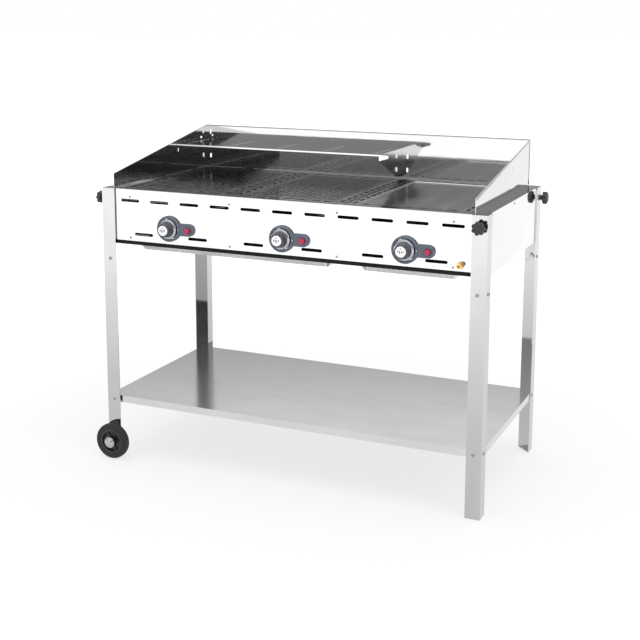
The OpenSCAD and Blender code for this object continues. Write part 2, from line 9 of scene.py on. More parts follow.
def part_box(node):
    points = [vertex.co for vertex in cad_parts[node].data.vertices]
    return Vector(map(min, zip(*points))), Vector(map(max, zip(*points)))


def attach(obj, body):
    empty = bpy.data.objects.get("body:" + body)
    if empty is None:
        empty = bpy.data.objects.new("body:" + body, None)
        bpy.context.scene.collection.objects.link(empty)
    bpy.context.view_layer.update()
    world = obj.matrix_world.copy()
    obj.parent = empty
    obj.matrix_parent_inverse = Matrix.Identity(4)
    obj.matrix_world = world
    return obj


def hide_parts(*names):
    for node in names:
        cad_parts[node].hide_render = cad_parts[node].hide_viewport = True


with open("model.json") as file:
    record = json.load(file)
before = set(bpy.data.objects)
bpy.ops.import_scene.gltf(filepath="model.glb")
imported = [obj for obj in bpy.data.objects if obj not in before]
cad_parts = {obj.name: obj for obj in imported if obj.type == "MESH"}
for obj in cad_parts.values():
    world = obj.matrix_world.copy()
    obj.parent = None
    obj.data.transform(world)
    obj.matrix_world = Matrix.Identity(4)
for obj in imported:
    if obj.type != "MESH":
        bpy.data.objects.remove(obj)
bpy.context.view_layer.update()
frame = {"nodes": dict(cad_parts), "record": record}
NODES = frame["nodes"]
MM = 0.001

# ---------------------------------------------------------------- materials


class Surface:
    """A procedural material on one Principled shader; every pattern is in object space, in metres."""

    def __init__(self, name, colour, roughness, metallic=0.0, **sockets):
        self.material = bpy.data.materials.new(name)
        self.material.use_nodes = True
        self.nodes = self.material.node_tree.nodes
        self.links = self.material.node_tree.links
        self.shader = self.nodes["Principled BSDF"]
        self.shader.inputs["Base Color"].default_value = (*colour, 1)
        self.shader.inputs["Roughness"].default_value = roughness
        self.shader.inputs["Metallic"].default_value = metallic
        for socket, value in sockets.items():
            self.shader.inputs[socket.replace("_", " ")].default_value = value
        self.coordinates = self.nodes.new("ShaderNodeTexCoord").outputs["Object"]
        self.normal = None

    def node(self, kind, inputs=(), **settings):
        made = self.nodes.new("ShaderNode" + kind)
        for key, value in settings.items():
            setattr(made, key, value)
        for key, value in dict(inputs).items():
            if isinstance(value, bpy.types.NodeSocket):
                self.links.new(value, made.inputs[key])
            else:
                made.inputs[key].default_value = value
        return made

    def stretched(self, stretch):
        return self.node("Mapping", {"Vector": self.coordinates, "Scale": stretch}).outputs["Vector"]

    def noise(self, scale, stretch=(1, 1, 1), detail=4.0, distortion=0.0):
        return self.node("TexNoise", {
            "Vector": self.stretched(stretch), "Scale": scale, "Detail": detail,
            "Distortion": distortion}).outputs["Fac"]

    def spread(self, value, low, high, start=0.3, end=0.7):
        """Maps start..end of a pattern to low..high, clamped."""
        return self.node("MapRange", {
            "Value": value, "From Min": start, "From Max": end, "To Min": low,
            "To Max": high}).outputs["Result"]

    def times(self, first, second):
        return self.node("Math", {0: first, 1: second}, operation="MULTIPLY").outputs["Value"]

    def mixed(self, factor, first, second):
        mix = self.node("Mix", {"Factor": factor}, data_type="RGBA")
        for socket, value in ((6, first), (7, second)):
            if isinstance(value, bpy.types.NodeSocket):
                self.links.new(value, mix.inputs[socket])
            else:
                mix.inputs[socket].default_value = (*value, 1)
        return mix.outputs[2]

    def set(self, socket, value):
        self.links.new(value, self.shader.inputs[socket])

    def bump(self, height, strength, distance):
        settings = {"Height": height, "Strength": strength, "Distance": distance}
        if self.normal is not None:
            settings["Normal"] = self.normal
        self.normal = self.node("Bump", settings).outputs["Normal"]
        self.set("Normal", self.normal)
        return self


def grain(axis, along=1.0, across=40.0):
    """Stretch that draws a noise out into lines along one axis."""
    return tuple(along if i == axis else across for i in range(3))


def polished_steel(name, axis, tint=(0.64, 0.645, 0.65), low=0.02, high=0.07):
    """Bright rolled sheet: faint draw lines, wiped smears and shallow waves from folding."""
    steel = Surface(name, tint, low, metallic=1.0)
    lines = steel.noise(14, grain(axis), detail=3)
    smears = steel.noise(5, grain(axis, 1, 2.4), detail=5, distortion=0.6)
    steel.set("Roughness", steel.spread(steel.times(lines, smears), low, high, 0.12, 0.36))
    dull = tuple(c * 0.94 for c in tint)
    steel.set("Base Color", steel.mixed(steel.spread(smears, 0, 1, 0.35, 0.7), tint, dull))
    steel.bump(lines, 0.02, 0.0003)
    return steel.bump(steel.noise(2.2, detail=1), 0.06, 0.003).material


def brushed_steel(name, axis, tint=(0.62, 0.62, 0.63), low=0.24, high=0.42):
    """Matt sheet with a clear brushed grain."""
    steel = Surface(name, tint, low, metallic=1.0)
    lines = steel.noise(30, grain(axis, 1, 30), detail=5)
    stains = steel.noise(7, detail=6, distortion=0.8)
    steel.set("Roughness", steel.spread(lines, low, high))
    dark = tuple(c * 0.86 for c in tint)
    steel.set("Base Color", steel.mixed(steel.spread(stains, 0, 1, 0.4, 0.75), tint, dark))
    return steel.bump(lines, 0.16, 0.0005).material


def plate_steel(name, tint=(0.28, 0.28, 0.285), low=0.1, high=0.2, painted_shade=(0.012, 0.011, 0.010)):
    """Cooking plate: dark mill finish, heat marks, rolling lines, and painted shade: near-black on every
    upright cut edge, so the slots read as the dark box below.
    """
    plate = Surface(name, tint, low, metallic=1.0)
    lines = plate.noise(22, grain(1, 1, 24), detail=4)
    bands = plate.noise(4.6, grain(1, 0.12, 2.6), detail=2)
    heat = plate.noise(6, detail=6, distortion=1.2)
    plate.set("Roughness", plate.spread(plate.times(lines, bands), low, high, 0.14, 0.36))
    warm = (tint[0] * 0.80, tint[1] * 0.77, tint[2] * 0.74)
    bright = tuple(c * 1.22 for c in tint)
    stained = plate.mixed(plate.spread(heat, 0, 0.8, 0.45, 0.8), tint, warm)
    top = plate.mixed(plate.spread(bands, 0, 0.5, 0.5, 0.7), stained, bright)
    # Painted shade: upright faces (the slot walls) take the near-black colour, standing in for the shade
    # inside the slots.
    split = plate.node("SeparateXYZ", {"Vector": plate.nodes["Texture Coordinate"].outputs["Normal"]})
    level = plate.node("Math", {0: split.outputs["Z"]}, operation="ABSOLUTE").outputs["Value"]
    plate.set("Base Color", plate.mixed(plate.spread(level, 0, 1, 0.5, 0.7), painted_shade, top))
    return plate.bump(lines, 0.08, 0.0003).material


def painted(name, colour, low, high, pit=260.0, coat=0.0, gloss=0.5):
    """Powder coat or enamel with a fine orange peel and a little dust."""
    paint = Surface(name, colour, low, Coat_Weight=coat, Specular_IOR_Level=gloss)
    peel = paint.noise(pit, detail=3)
    dust = paint.noise(9, detail=6, distortion=0.5)
    paint.set("Roughness", paint.spread(dust, low, high))
    dusty = tuple(min(1.0, c * 1.25 + 0.012) for c in colour)
    paint.set("Base Color", paint.mixed(paint.spread(dust, 0, 1, 0.42, 0.8), colour, dusty))
    return paint.bump(peel, 0.12, 0.0004).material


def moulded(name, colour, low=0.28, high=0.5, speck=520.0, metallic=0.0):
    """Moulded plastic with spark-eroded texture and scuffs."""
    plastic = Surface(name, colour, low, metallic=metallic)
    texture = plastic.noise(speck, detail=2)
    scuff = plastic.noise(38, detail=6, distortion=1.0)
    plastic.set("Roughness", plastic.spread(scuff, low, high))
    light = tuple(min(1.0, c * 1.3 + 0.008) for c in colour)
    plastic.set("Base Color", plastic.mixed(plastic.spread(scuff, 0, 1, 0.46, 0.78), colour, light))
    return plastic.bump(texture, 0.2, 0.0003).material


def rubber(name, colour=(0.010, 0.010, 0.011)):
    """Solid tyre rubber with a grey bloom and mould grain."""
    tyre = Surface(name, colour, 0.62)
    bloom = tyre.noise(24, detail=6, distortion=0.7)
    tyre.set("Roughness", tyre.spread(bloom, 0.5, 0.8))
    tyre.set("Base Color", tyre.mixed(tyre.spread(bloom, 0, 1, 0.42, 0.8), colour, (0.030, 0.030, 0.031)))
    return tyre.bump(tyre.noise(420, detail=3), 0.3, 0.0004).material


def plated(name, tint, low, high, scale=60.0):
    """Turned or plated metal with fine tool lines and slight tarnish."""
    metal = Surface(name, tint, low, metallic=1.0)
    tarnish = metal.noise(scale, detail=6, distortion=0.6)
    metal.set("Roughness", metal.spread(tarnish, low, high))
    old = tuple(c * 0.7 for c in tint)
    metal.set("Base Color", metal.mixed(metal.spread(tarnish, 0, 1, 0.42, 0.74), tint, old))
    return metal.bump(metal.noise(900, detail=2), 0.08, 0.0002).material


MATERIALS = {
    # One stainless steel throughout, tinted per part to match how bright each reads: the front cover's
    # brighter tint (0.69) is painted light and the legs' darker tint (steel_z, 0.53) is painted shade.
    "steel_x": polished_steel("polished_steel_along_x", 0, tint=(0.69, 0.695, 0.70)),
    "steel_y": polished_steel("polished_steel_along_y", 1, tint=(0.70, 0.705, 0.71)),
    "screen": polished_steel("screen_sheet", 0, tint=(0.61, 0.615, 0.62)),
    "steel_z": polished_steel("polished_steel_along_z", 2, tint=(0.53, 0.535, 0.54)),
    "shelf": polished_steel("shelf_sheet", 0, tint=(0.66, 0.665, 0.67), low=0.13, high=0.17),
    "warm": polished_steel("warming_shelf_sheet", 0, tint=(0.66, 0.665, 0.67), low=0.06, high=0.14),
    # Darker copy of the screen steel (0.40) on the folded edges: painted shade that draws the grey line along
    # each fold.
    "hem": polished_steel("folded_edge", 0, tint=(0.40, 0.40, 0.405), low=0.08, high=0.16),
    "tray": brushed_steel("tray_sheet", 0, tint=(0.80, 0.80, 0.81), low=0.16, high=0.3),
    "brushed": brushed_steel("brushed_sheet", 0),
    # Near-black sheet for the heat shield, gas manifold, valves and burner support: painted shade, standing in
    # for the dark inside of the box seen through the slots.
    "painted_shade": brushed_steel("interior_painted_shade_sheet", 0, tint=(0.05, 0.048, 0.045), low=0.45, high=0.65),
    # Near-black lower rail: painted shade, standing in for the shadow in the gap below the front cover.
    "rail": painted("dark_rail", (0.006, 0.006, 0.007), 0.4, 0.6, gloss=0.12),
    "plate": plate_steel("plate_steel"),
    "griddle": plate_steel("griddle_steel", tint=(0.46, 0.46, 0.465), low=0.14, high=0.24),
    # The cove's steep walls take a darker grey (0.24) than its floor: painted shade in the recess.
    "cove": plate_steel(
        "griddle_cove", tint=(0.30, 0.30, 0.305), low=0.2, high=0.3, painted_shade=(0.24, 0.24, 0.245)),
    "burner": brushed_steel("burner_steel", 1, tint=(0.20, 0.19, 0.18), low=0.34, high=0.55),
    "brass": plated("brass", (0.80, 0.55, 0.22), 0.16, 0.34),
    "zinc": plated("fastener_zinc", (0.50, 0.50, 0.51), 0.16, 0.38),
    "skirt": plated("knob_skirt", (0.46, 0.475, 0.51), 0.16, 0.3),
    "cap": plated("axle_cap", (0.84, 0.84, 0.84), 0.3, 0.44),
    "black": moulded("black_plastic", (0.018, 0.018, 0.019)),
    "bezel": moulded("bezel_grey", (0.088, 0.101, 0.138), 0.26, 0.42),
    "grip": moulded("knob_grip", (0.05, 0.053, 0.064), 0.2, 0.36),
    "face": moulded("knob_face", (0.78, 0.78, 0.79), 0.2, 0.36, metallic=0.3),
    "mark": painted("knob_mark", (0.03, 0.03, 0.04), 0.3, 0.5),
    "dot": painted("index_mark", (0.8, 0.8, 0.8), 0.3, 0.5),
    "red": moulded("button_red", (0.42, 0.008, 0.06), 0.18, 0.34),
    "ceramic": painted("glazed_ceramic", (0.72, 0.70, 0.66), 0.1, 0.25, coat=0.5),
    "rubber": rubber("tyre_rubber"),
}

SLOT_MATERIAL = {
    "polished_steel": "steel_x", "brushed_sheet": "brushed", "dark_rail": "rail", "plate_steel": "plate",
    "burner_steel": "burner", "brass": "brass", "fastener": "zinc", "black_plastic": "black",
    "bezel_grey": "bezel", "knob_grey": "grip", "button_red": "red", "ceramic": "ceramic",
    "tyre_rubber": "rubber"}
NODE_MATERIAL = {
    "leg_front_left": "steel_z", "leg_front_right": "steel_z", "leg_rear_left": "steel_z",
    "leg_rear_right": "steel_z", "side_panel_left": "brushed", "side_panel_right": "steel_y",
    "screen_left": "screen", "screen_right": "screen", "screen_rear": "screen", "lower_shelf": "shelf",
    "warming_shelf": "warm", "warming_bracket": "warm", "griddle_plate": "griddle",
    "heat_shield": "painted_shade", "gas_manifold": "painted_shade", "gas_valves": "painted_shade", "burner_support": "painted_shade",
    "tray_left": "tray", "tray_right": "tray", "tray_rails": "burner"}
SLOT_OF = {row["node"]: row["material_slot"] for row in frame["record"]["subparts"]}

# ---------------------------------------------------------------- mesh tools


def finish_piece(name, mesh_data, material, body, replaces=(), smooth=40):
    """Turns a bmesh into a smooth-shaded piece that rides on its body and stands for CAD nodes."""
    bmesh.ops.recalc_face_normals(mesh_data, faces=mesh_data.faces)
    mesh = bpy.data.meshes.new(name)
    mesh_data.to_mesh(mesh)
    mesh_data.free()
    piece = bpy.data.objects.new(name, mesh)
    bpy.context.scene.collection.objects.link(piece)
    for key in [material] if isinstance(material, str) else material:
        mesh.materials.append(MATERIALS[key])
    mesh.shade_smooth()
    mesh.set_sharp_from_angle(angle=math.radians(smooth))
    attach(piece, body)
    if replaces:
        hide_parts(*replaces)
    return piece


def axis_frame(origin, direction, up=(0, 0, 1)):
    """Matrix whose local Z runs along direction, for pieces turned or extruded along Z."""
    z = Vector(direction).normalized()
    x = Vector(up).cross(z)
    if x.length < 1e-6:
        x = Vector((1, 0, 0))
    x.normalize()
    y = z.cross(x)
    return Matrix.Translation(origin) @ Matrix((x, y, z)).transposed().to_4x4()


def rings(data, loops, closed=True, cap=True, material=0):
    """Skins a list of equal-length point loops, and caps the first and the last."""
    rows = [[data.verts.new(p) for p in loop] for loop in loops]
    count = len(rows[0])
    for a, b in zip(rows, rows[1:]):
        for i in range(count if closed else count - 1):
            j = (i + 1) % count
            data.faces.new((a[i], a[j], b[j], b[i])).material_index = material
    if cap:
        for row in (rows[0], rows[-1]):
            data.faces.new(row).material_index = material
    return rows


def turned(data, place, profile, segments=48, lobes=None, cap=True, material=0):
    """Turns (radius, height) points about local Z; lobes(angle) scales the radius."""
    loops = []
    for radius, height in profile:
        loop = []
        for i in range(segments):
            angle = math.tau * i / segments
            r = radius * (lobes(angle, radius, height) if lobes else 1)
            loop.append(place @ (Vector((r * math.cos(angle), r * math.sin(angle), height)) * MM))
        loops.append(loop)
    return rings(data, loops, cap=cap, material=material)


def rounded(profile, radius, steps=4):
    """Replaces each inner corner of a (radius, height) profile with a short arc."""
    out = [profile[0]]
    for before, corner, after in zip(profile, profile[1:], profile[2:]):
        a, c, b = Vector(before), Vector(corner), Vector(after)
        reach = min(radius, (a - c).length * 0.45, (b - c).length * 0.45)
        start = c + (a - c).normalized() * reach
        end = c + (b - c).normalized() * reach
        for i in range(steps + 1):
            t = i / steps
            out.append(tuple((1 - t) ** 2 * start + 2 * t * (1 - t) * c + t * t * end))
    out.append(profile[-1])
    return out


def outline_solid(data, place, outline, profile, material=0):
    """Extrudes an outline along local Z; profile is (inset, height) points, so edges can be round."""
    loops = []
    count = len(outline)
    for inset, height in profile:
        loop = []
        for i, point in enumerate(outline):
            before, after = Vector(outline[i - 1]), Vector(outline[(i + 1) % count])
            along = (after - before).normalized()
            inward = Vector((-along.y, along.x))
            moved = Vector(point) + inward * inset
            loop.append(place @ (Vector((moved.x, moved.y, height)) * MM))
        loops.append(loop)
    return rings(data, loops, material=material)


def softened(name, width, segments=2):
    """Welds and bevels a CAD node so that its sheet edges catch the light."""
    node = NODES[name]
    weld = node.modifiers.new("weld", "WELD")
    weld.merge_threshold = 0.00002
    planar = node.modifiers.new("planar", "DECIMATE")
    planar.decimate_type = "DISSOLVE"
    planar.angle_limit = math.radians(0.5)
    bevel = node.modifiers.new("bevel", "BEVEL")
    bevel.width = width * MM
    bevel.segments = segments
    bevel.limit_method = "ANGLE"
    bevel.angle_limit = math.radians(35)
    bevel.harden_normals = False
    normals = node.modifiers.new("normals", "WEIGHTED_NORMAL")
    normals.keep_sharp = False


# ---------------------------------------------------------------- CAD nodes


def dress_cad_nodes():
    for name, node in NODES.items():
        key = NODE_MATERIAL.get(name, SLOT_MATERIAL[SLOT_OF[name]])
        node.data.materials.clear()
        node.data.materials.append(MATERIALS[key])


SOFT_EDGES = {
    "front_cover": 0.35, "leg_front_left": 0.9, "leg_front_right": 0.9, "leg_rear_left": 0.9,
    "leg_rear_right": 0.9, "side_panel_left": 0.4, "side_panel_right": 0.4, "rear_panel": 0.4,
    "lower_shelf": 0.7, "screen_rear": 0.3, "screen_left": 0.4, "screen_right": 0.4,
    "warming_shelf": 0.4, "warming_bracket": 0.4, "front_rail": 0.5, "top_frame": 0.4,
    "wheel_mounts": 1.0, "tray_rails": 0.4}

dress_cad_nodes()
for node_name, edge in SOFT_EDGES.items():
    softened(node_name, edge)

# ---------------------------------------------------------------- fittings

SIDES = ("left", "middle", "right")
CORNERS = {
    "front_left": (-1, 0, 0), "front_right": (0, -1, 0), "rear_left": (0, 1, 0), "rear_right": (1, 0, 0)}
STAR_LENGTH = 26.0
STAR_LOBES = 7
GRIP_FLUTES = 24


def star_lobe(angle, radius, height):
    """Hollows the rim of the star head between its lobes; the collar stays round."""
    depth = 0.2 * max(0.0, min(1.0, (radius - 10) / 7))
    return 1 - depth * (0.5 - 0.5 * math.cos(STAR_LOBES * angle)) ** 1.4


def make_star_knobs():
    head = rounded([
        (0.2, 0.3), (8.6, 0.3), (8.4, 3), (7.4, 5), (7.6, 8), (12, 10), (18.2, 11.2), (19.1, 13.6),
        (19.0, 21.2), (17.4, 24.4), (13.5, 25.7), (11.5, 25.3), (10.6, 24.4), (0.2, 24.2)], 1.6)
    washer = rounded([(4.2, 0.1), (10.5, 0.1), (10.5, 1.3), (4.2, 1.3)], 0.4)
    for corner, outward in CORNERS.items():
        node = "star_knob_" + corner
        low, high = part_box(node)
        out = Vector(outward)
        middle = (low + high) / 2
        reach = max((low - middle).dot(out), (high - middle).dot(out))
        seat = middle + out * (reach - STAR_LENGTH * MM)
        place = axis_frame(seat, out)
        data = bmesh.new()
        turned(data, place, head, segments=STAR_LOBES * 14, lobes=star_lobe)
        finish_piece("star_head_" + corner, data, "black", "clamp_" + corner, [node], 50)
        data = bmesh.new()
        turned(data, place, washer, segments=40)
        finish_piece("star_washer_" + corner, data, "zinc", "clamp_" + corner)


def grip_flute(angle, radius, height):
    """Shallow flutes around the grip, between its skirt and its rim."""
    return 1 - 0.022 * (0.5 - 0.5 * math.cos(GRIP_FLUTES * angle)) if 8 < height < 25 else 1


def bar(data, place, x, y, length, width, base, top):
    """Small round-ended bar standing on a face, long side along local Y."""
    outline = []
    for centre, start in ((y + length / 2, 0), (y - length / 2, math.pi)):
        for step in range(7):
            angle = start + math.pi * step / 6
            outline.append((x + width / 2 * math.cos(angle), centre + width / 2 * math.sin(angle)))
    outline_solid(data, place, outline, [(0, base), (0, top - 0.05), (0.08, top)])


def make_knobs():
    skirt = rounded([
        (6, 0.2), (29.0, 0.2), (29.7, 1.2), (28.9, 3.0), (25.0, 4.9), (23.6, 5.2), (22.4, 4.6)], 0.7)
    grip = rounded([
        (22.2, 3.6), (22.9, 5.4), (22.6, 7.0), (21.9, 8.0), (20.2, 24.6), (19.2, 26.6), (16.6, 27.3),
        (15.6, 26.9), (15.2, 26.2)], 0.9)
    face = rounded([(15.3, 25.4), (15.1, 27.3), (14.4, 28.1), (12, 28.3), (0.2, 28.4)], 0.6)
    marks = ((-7.4, 1.2, 3.6), (-2.6, -0.6, 7.4), (2.6, -1.0, 5.2), (7.4, 1.0, 4.0), (0, 8.2, 2.2))
    mark_width, mark_base, mark_top = 2.3, 28.0, 28.6
    for side in SIDES:
        body = "knob_" + side
        low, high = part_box(body)
        place = axis_frame(((low.x + high.x) / 2, high.y, (low.z + high.z) / 2), (0, -1, 0))
        data = bmesh.new()
        turned(data, place, skirt, segments=96, cap=False)
        finish_piece("knob_skirt_" + side, data, "skirt", body)
        data = bmesh.new()
        turned(data, place, grip, segments=192, lobes=grip_flute, cap=False)
        finish_piece("knob_grip_" + side, data, "grip", body, [body], 50)
        data = bmesh.new()
        turned(data, place, face, segments=64, cap=False)
        finish_piece("knob_face_" + side, data, "face", body)
        data = bmesh.new()
        for x, y, length in marks:
            bar(data, place, x, y, length, mark_width, mark_base, mark_top)
        finish_piece("knob_marks_" + side, data, "mark", body)


def make_bezels():
    ring = rounded([
        (31.2, 0.2), (31.2, 9.0), (31.9, 10.0), (34.2, 10.0), (36.6, 9.2), (38.3, 7.0), (38.5, 5.6),
        (38.5, 0.1)], 0.8)
    well = rounded([(8.5, 6.4), (8.6, 8.2), (9.2, 9.2), (11.0, 9.3), (12.3, 8.4), (12.6, 6.4)], 0.5)
    dot = rounded([(1.5, 9.6), (1.5, 10.3), (0.9, 10.6), (0.1, 10.6)], 0.3)
    ring_radius, dot_radius = 38.5, 34.6
    arm_start, arm_end, arm_half = 33.0, 67.0, 18.0
    outline = [(arm_start, arm_half), (arm_start, -arm_half)]
    for step in range(25):
        angle = -math.pi / 2 + math.pi * step / 24
        outline.append((arm_end + arm_half * math.cos(angle), arm_half * math.sin(angle)))
    arm = [(0, 0.1), (0, 5.4), (0.3, 6.3), (1.0, 6.9), (2.0, 7.0)]
    for side in SIDES:
        node = "bezel_" + side
        low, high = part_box(node)
        middle_x = low.x + ring_radius * MM
        place = axis_frame((middle_x, high.y, (low.z + high.z) / 2), (0, -1, 0))
        data = bmesh.new()
        turned(data, place, ring, segments=96, cap=False)
        outline_solid(data, place, outline, arm)
        turned(data, place @ Matrix.Translation((arm_end * MM, 0, 0)), well, segments=48, cap=False)
        finish_piece("bezel_ring_" + side, data, "bezel", "frame", [node], 35)
        data = bmesh.new()
        turned(data, place @ Matrix.Translation((dot_radius * MM, 0, 0)), dot, segments=20, cap=False)
        finish_piece("bezel_index_" + side, data, "dot", "frame")


def make_buttons():
    shank = 14
    profile = rounded([
        (0.2, -shank), (5.9, -shank), (5.9, 4.8), (8.0, 5.0), (8.1, 15.4), (7.6, 17.4), (5.8, 18.4),
        (3.6, 18.2), (0.2, 18.0)], 0.9)
    for side in SIDES:
        node = "button_" + side
        low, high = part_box(node)
        front = high.y - shank * MM
        place = axis_frame(((low.x + high.x) / 2, front, (low.z + high.z) / 2), (0, -1, 0))
        data = bmesh.new()
        turned(data, place, profile, segments=48)
        finish_piece("button_cap_" + side, data, "red", node, [node], 50)


def make_gas_inlet():
    low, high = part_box("gas_inlet")
    place = axis_frame(((low.x + high.x) / 2, high.y, (low.z + high.z) / 2), (0, -1, 0))
    length = (high.y - low.y) / MM
    profile = [(0.2, 0), (7, 0), (7, 15), (9, 15.1), (5.7, 22.2), (5.7, 24)]
    pitch, crest, root = 1.34, 6.58, 5.8
    height = 24.4
    while height < length - pitch:
        profile += [(root, height), (crest, height + pitch * 0.4), (crest, height + pitch * 0.55)]
        height += pitch
    profile += [(root, height), (5.6, length), (4.0, length), (3.5, length - 0.5), (3.4, length - 10)]
    data = bmesh.new()
    turned(data, place, profile, segments=48)
    nut = rounded([(5, 15), (9.2, 15), (9.8, 15.8), (9.8, 21.2), (9.2, 22), (5, 22)], 0.3)
    turned(data, place, nut, segments=6)
    finish_piece("gas_union", data, "brass", "frame", ["gas_inlet"], 25)


def screw_head(data, place, radius, height, socket):
    """Domed head with a hexagon socket."""
    rise = [(radius, 0.05), (radius, height * 0.25)]
    rise += [(radius * math.cos(a) * 0.98 + 0.02, height * (0.25 + 0.75 * math.sin(a)))
             for a in (0.3, 0.6, 0.9, 1.15)]
    turned(data, place, rise + [(socket * 1.05, height)], segments=28, cap=False)
    turned(data, place, [(socket * 1.06, height), (socket, height - 0.15), (socket, height * 0.3),
                         (0.1, height * 0.3)], segments=6, cap=False)


def make_screws():
    """Button-head screws on the legs, small pan heads on the cover."""
    bolt_radius, bolt_height, bolt_socket, grip_depth = 5.5, 3.4, 2.2, 10.5
    pan_radius, pan_height, pan_socket, columns = 3.8, 1.8, 1.3, 4
    nut = ((5.6, 0), (5.6, 4.6), (2.8, 4.6), (2.8, 10))
    for node in ("post_bolts", "shelf_bolts"):
        low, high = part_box(node)
        data = bmesh.new()
        for leg in ("front_left", "front_right", "rear_left", "rear_right"):
            first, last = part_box("leg_" + leg)
            outer_x = first.x if "left" in leg else last.x
            outer_y = first.y if "front" in leg else last.y
            side_x = -1 if "left" in leg else 1
            side_y = -1 if "front" in leg else 1
            middle = Vector(((first.x + last.x) / 2 - side_x * MM, (first.y + last.y) / 2 - side_y * MM,
                             (low.z + high.z) / 2))
            across = axis_frame((outer_x, middle.y, middle.z), (side_x, 0, 0))
            facing = axis_frame((middle.x, outer_y, middle.z), (0, side_y, 0))
            for place in (across, facing):
                screw_head(data, place, bolt_radius, bolt_height, bolt_socket)
                inner = place @ Matrix.Translation((0, 0, -grip_depth * MM))
                turned(data, inner, nut, segments=6)
        finish_piece(node + "_set", data, "zinc", "frame", [node], 35)
    low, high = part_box("cover_screws")
    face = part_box("front_cover")[0].y
    inset = pan_radius * MM
    pitch = (high.x - low.x - 2 * inset) / (columns - 1)
    data = bmesh.new()
    for column in range(columns):
        for z in (low.z + inset, high.z - inset):
            place = axis_frame((low.x + inset + column * pitch, face, z), (0, -1, 0))
            screw_head(data, place, pan_radius, pan_height, pan_socket)
    finish_piece("cover_screw_set", data, "zinc", "frame", ["cover_screws"], 35)


def make_wheels():
    tyre = rounded([
        (37.4, -22), (44, -23.8), (50, -22.8), (54, -20), (55, -16.5), (55, -7.5), (54, -4), (51.4, -2.2),
        (50.6, -2.4), (50.0, -1.2), (46.8, -0.7), (46.2, -1.1), (45.6, -0.2), (41.4, -0.1), (40.8, -0.9),
        (37.4, -1.8)], 0.7, 3)
    rim = rounded([
        (37.6, -21.8), (30.6, -20.6), (30.0, -12), (30.6, -3.2), (31.6, -1.6), (33.4, -1.2),
        (37.6, -1.7)], 0.8)
    web = rounded([(9, -13), (31, -13), (31, -10), (26, -10.4), (9, -9)], 0.6)
    boss = rounded([(0.2, -22), (10.6, -22), (11.4, -12), (10.6, 0.6), (9.6, 1.2), (0.2, 1.2)], 0.8)
    cap = rounded([
        (0.2, 2.2), (16.4, 2.2), (17.0, 3.2), (17.0, 6.2), (16.2, 7.8), (13.6, 8.7), (11.4, 8.8),
        (10.6, 8.2), (9.8, 8.9), (8.2, 11.4), (4.2, 13.2), (0.2, 13.7)], 0.8)
    spokes = 6
    for end, outward in (("front", (0, -1, 0)), ("rear", (0, 1, 0))):
        low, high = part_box("tyre_" + end)
        face = low.y if end == "front" else high.y
        place = axis_frame(((low.x + high.x) / 2, face, (low.z + high.z) / 2), outward)
        body = "wheel_" + end
        data = bmesh.new()
        turned(data, place, tyre, segments=96, cap=False)
        finish_piece("tyre_ring_" + end, data, "rubber", body, ["tyre_" + end], 28)
        data = bmesh.new()
        turned(data, place, rim, segments=72, cap=False)
        turned(data, place, boss, segments=48)
        turned(data, place, web, segments=72)
        for step in range(spokes):
            spin = Matrix.Rotation(math.tau * step / spokes, 4, "Z")
            outline = [(9, -3.6), (31, -2.4), (31, 2.4), (9, 3.6)]
            outline_solid(data, place @ spin, outline, [(0, -17), (0, -6.8), (0.5, -6.1), (1.2, -5.8)])
        finish_piece("wheel_spokes_" + end, data, "black", body, ["hub_" + end], 35)
        data = bmesh.new()
        turned(data, place, cap, segments=72)
        finish_piece("axle_cap_" + end, data, "cap", "frame")


def hem(name, start, end, inward, body, drop=6.5, thickness=1.3):
    """Flattened fold along the top edge of a screen, round at the crest."""
    start, end, inward = Vector(start), Vector(end), Vector(inward)
    along = (end - start).normalized()
    down = along.cross(inward)
    if down.z > 0:
        down = -down
    section = [(0, 0.2), (0, drop)]
    section += [(thickness, drop), (thickness * 1.25, drop - 0.5), (thickness * 1.3, 1.2)]
    section += [(thickness * (0.65 + 0.65 * math.cos(a)) - 0.1, 0.9 - 1.4 * math.sin(a))
                for a in (0.3, 0.8, 1.3, 1.8, 2.3, 2.8)]
    loops = [[point + inward * (u * MM) + down * (v * MM) for u, v in section] for point in (start, end)]
    data = bmesh.new()
    rings(data, loops)
    finish_piece(name, data, "hem", body, smooth=50)


def make_hems():
    """Folded edges of the rear and the side screens; the rear one stays clear of the lifted bracket."""
    short_drop, thin = 3.2, 0.26
    slope_start, foot = 43 * MM, 12 * MM
    low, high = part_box("screen_rear")
    hem("hem_rear", (low.x + 2 * MM, low.y, high.z), (high.x - 2 * MM, low.y, high.z), (0, -1, 0),
        "windshield", short_drop, thin)
    for side, outward in (("left", -1), ("right", 1)):
        low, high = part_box("screen_" + side)
        x = low.x if side == "left" else high.x
        front = (x, low.y + 2 * MM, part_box("top_frame")[1].z + slope_start)
        hem("hem_" + side, front, (x, high.y - 1 * MM, high.z), (outward, 0, 0), "windshield")
        ends = ((x, high.y, high.z - 1 * MM), (x, high.y, low.z + foot))
        hem("seam_" + side, *(ends if outward > 0 else ends[::-1]), (outward, 0, 0), "windshield", short_drop)


def round_rectangle(low, high, radius, height, steps=6):
    """Points of a level rectangle with round corners, in metres."""
    points = []
    for cx, cy, start in ((high.x - radius, high.y - radius, 0), (low.x + radius, high.y - radius, 90),
                          (low.x + radius, low.y + radius, 180), (high.x - radius, low.y + radius, 270)):
        for i in range(steps + 1):
            angle = math.radians(start + 90 * i / steps)
            points.append(Vector((cx + radius * math.cos(angle), cy + radius * math.sin(angle), height)))
    return points


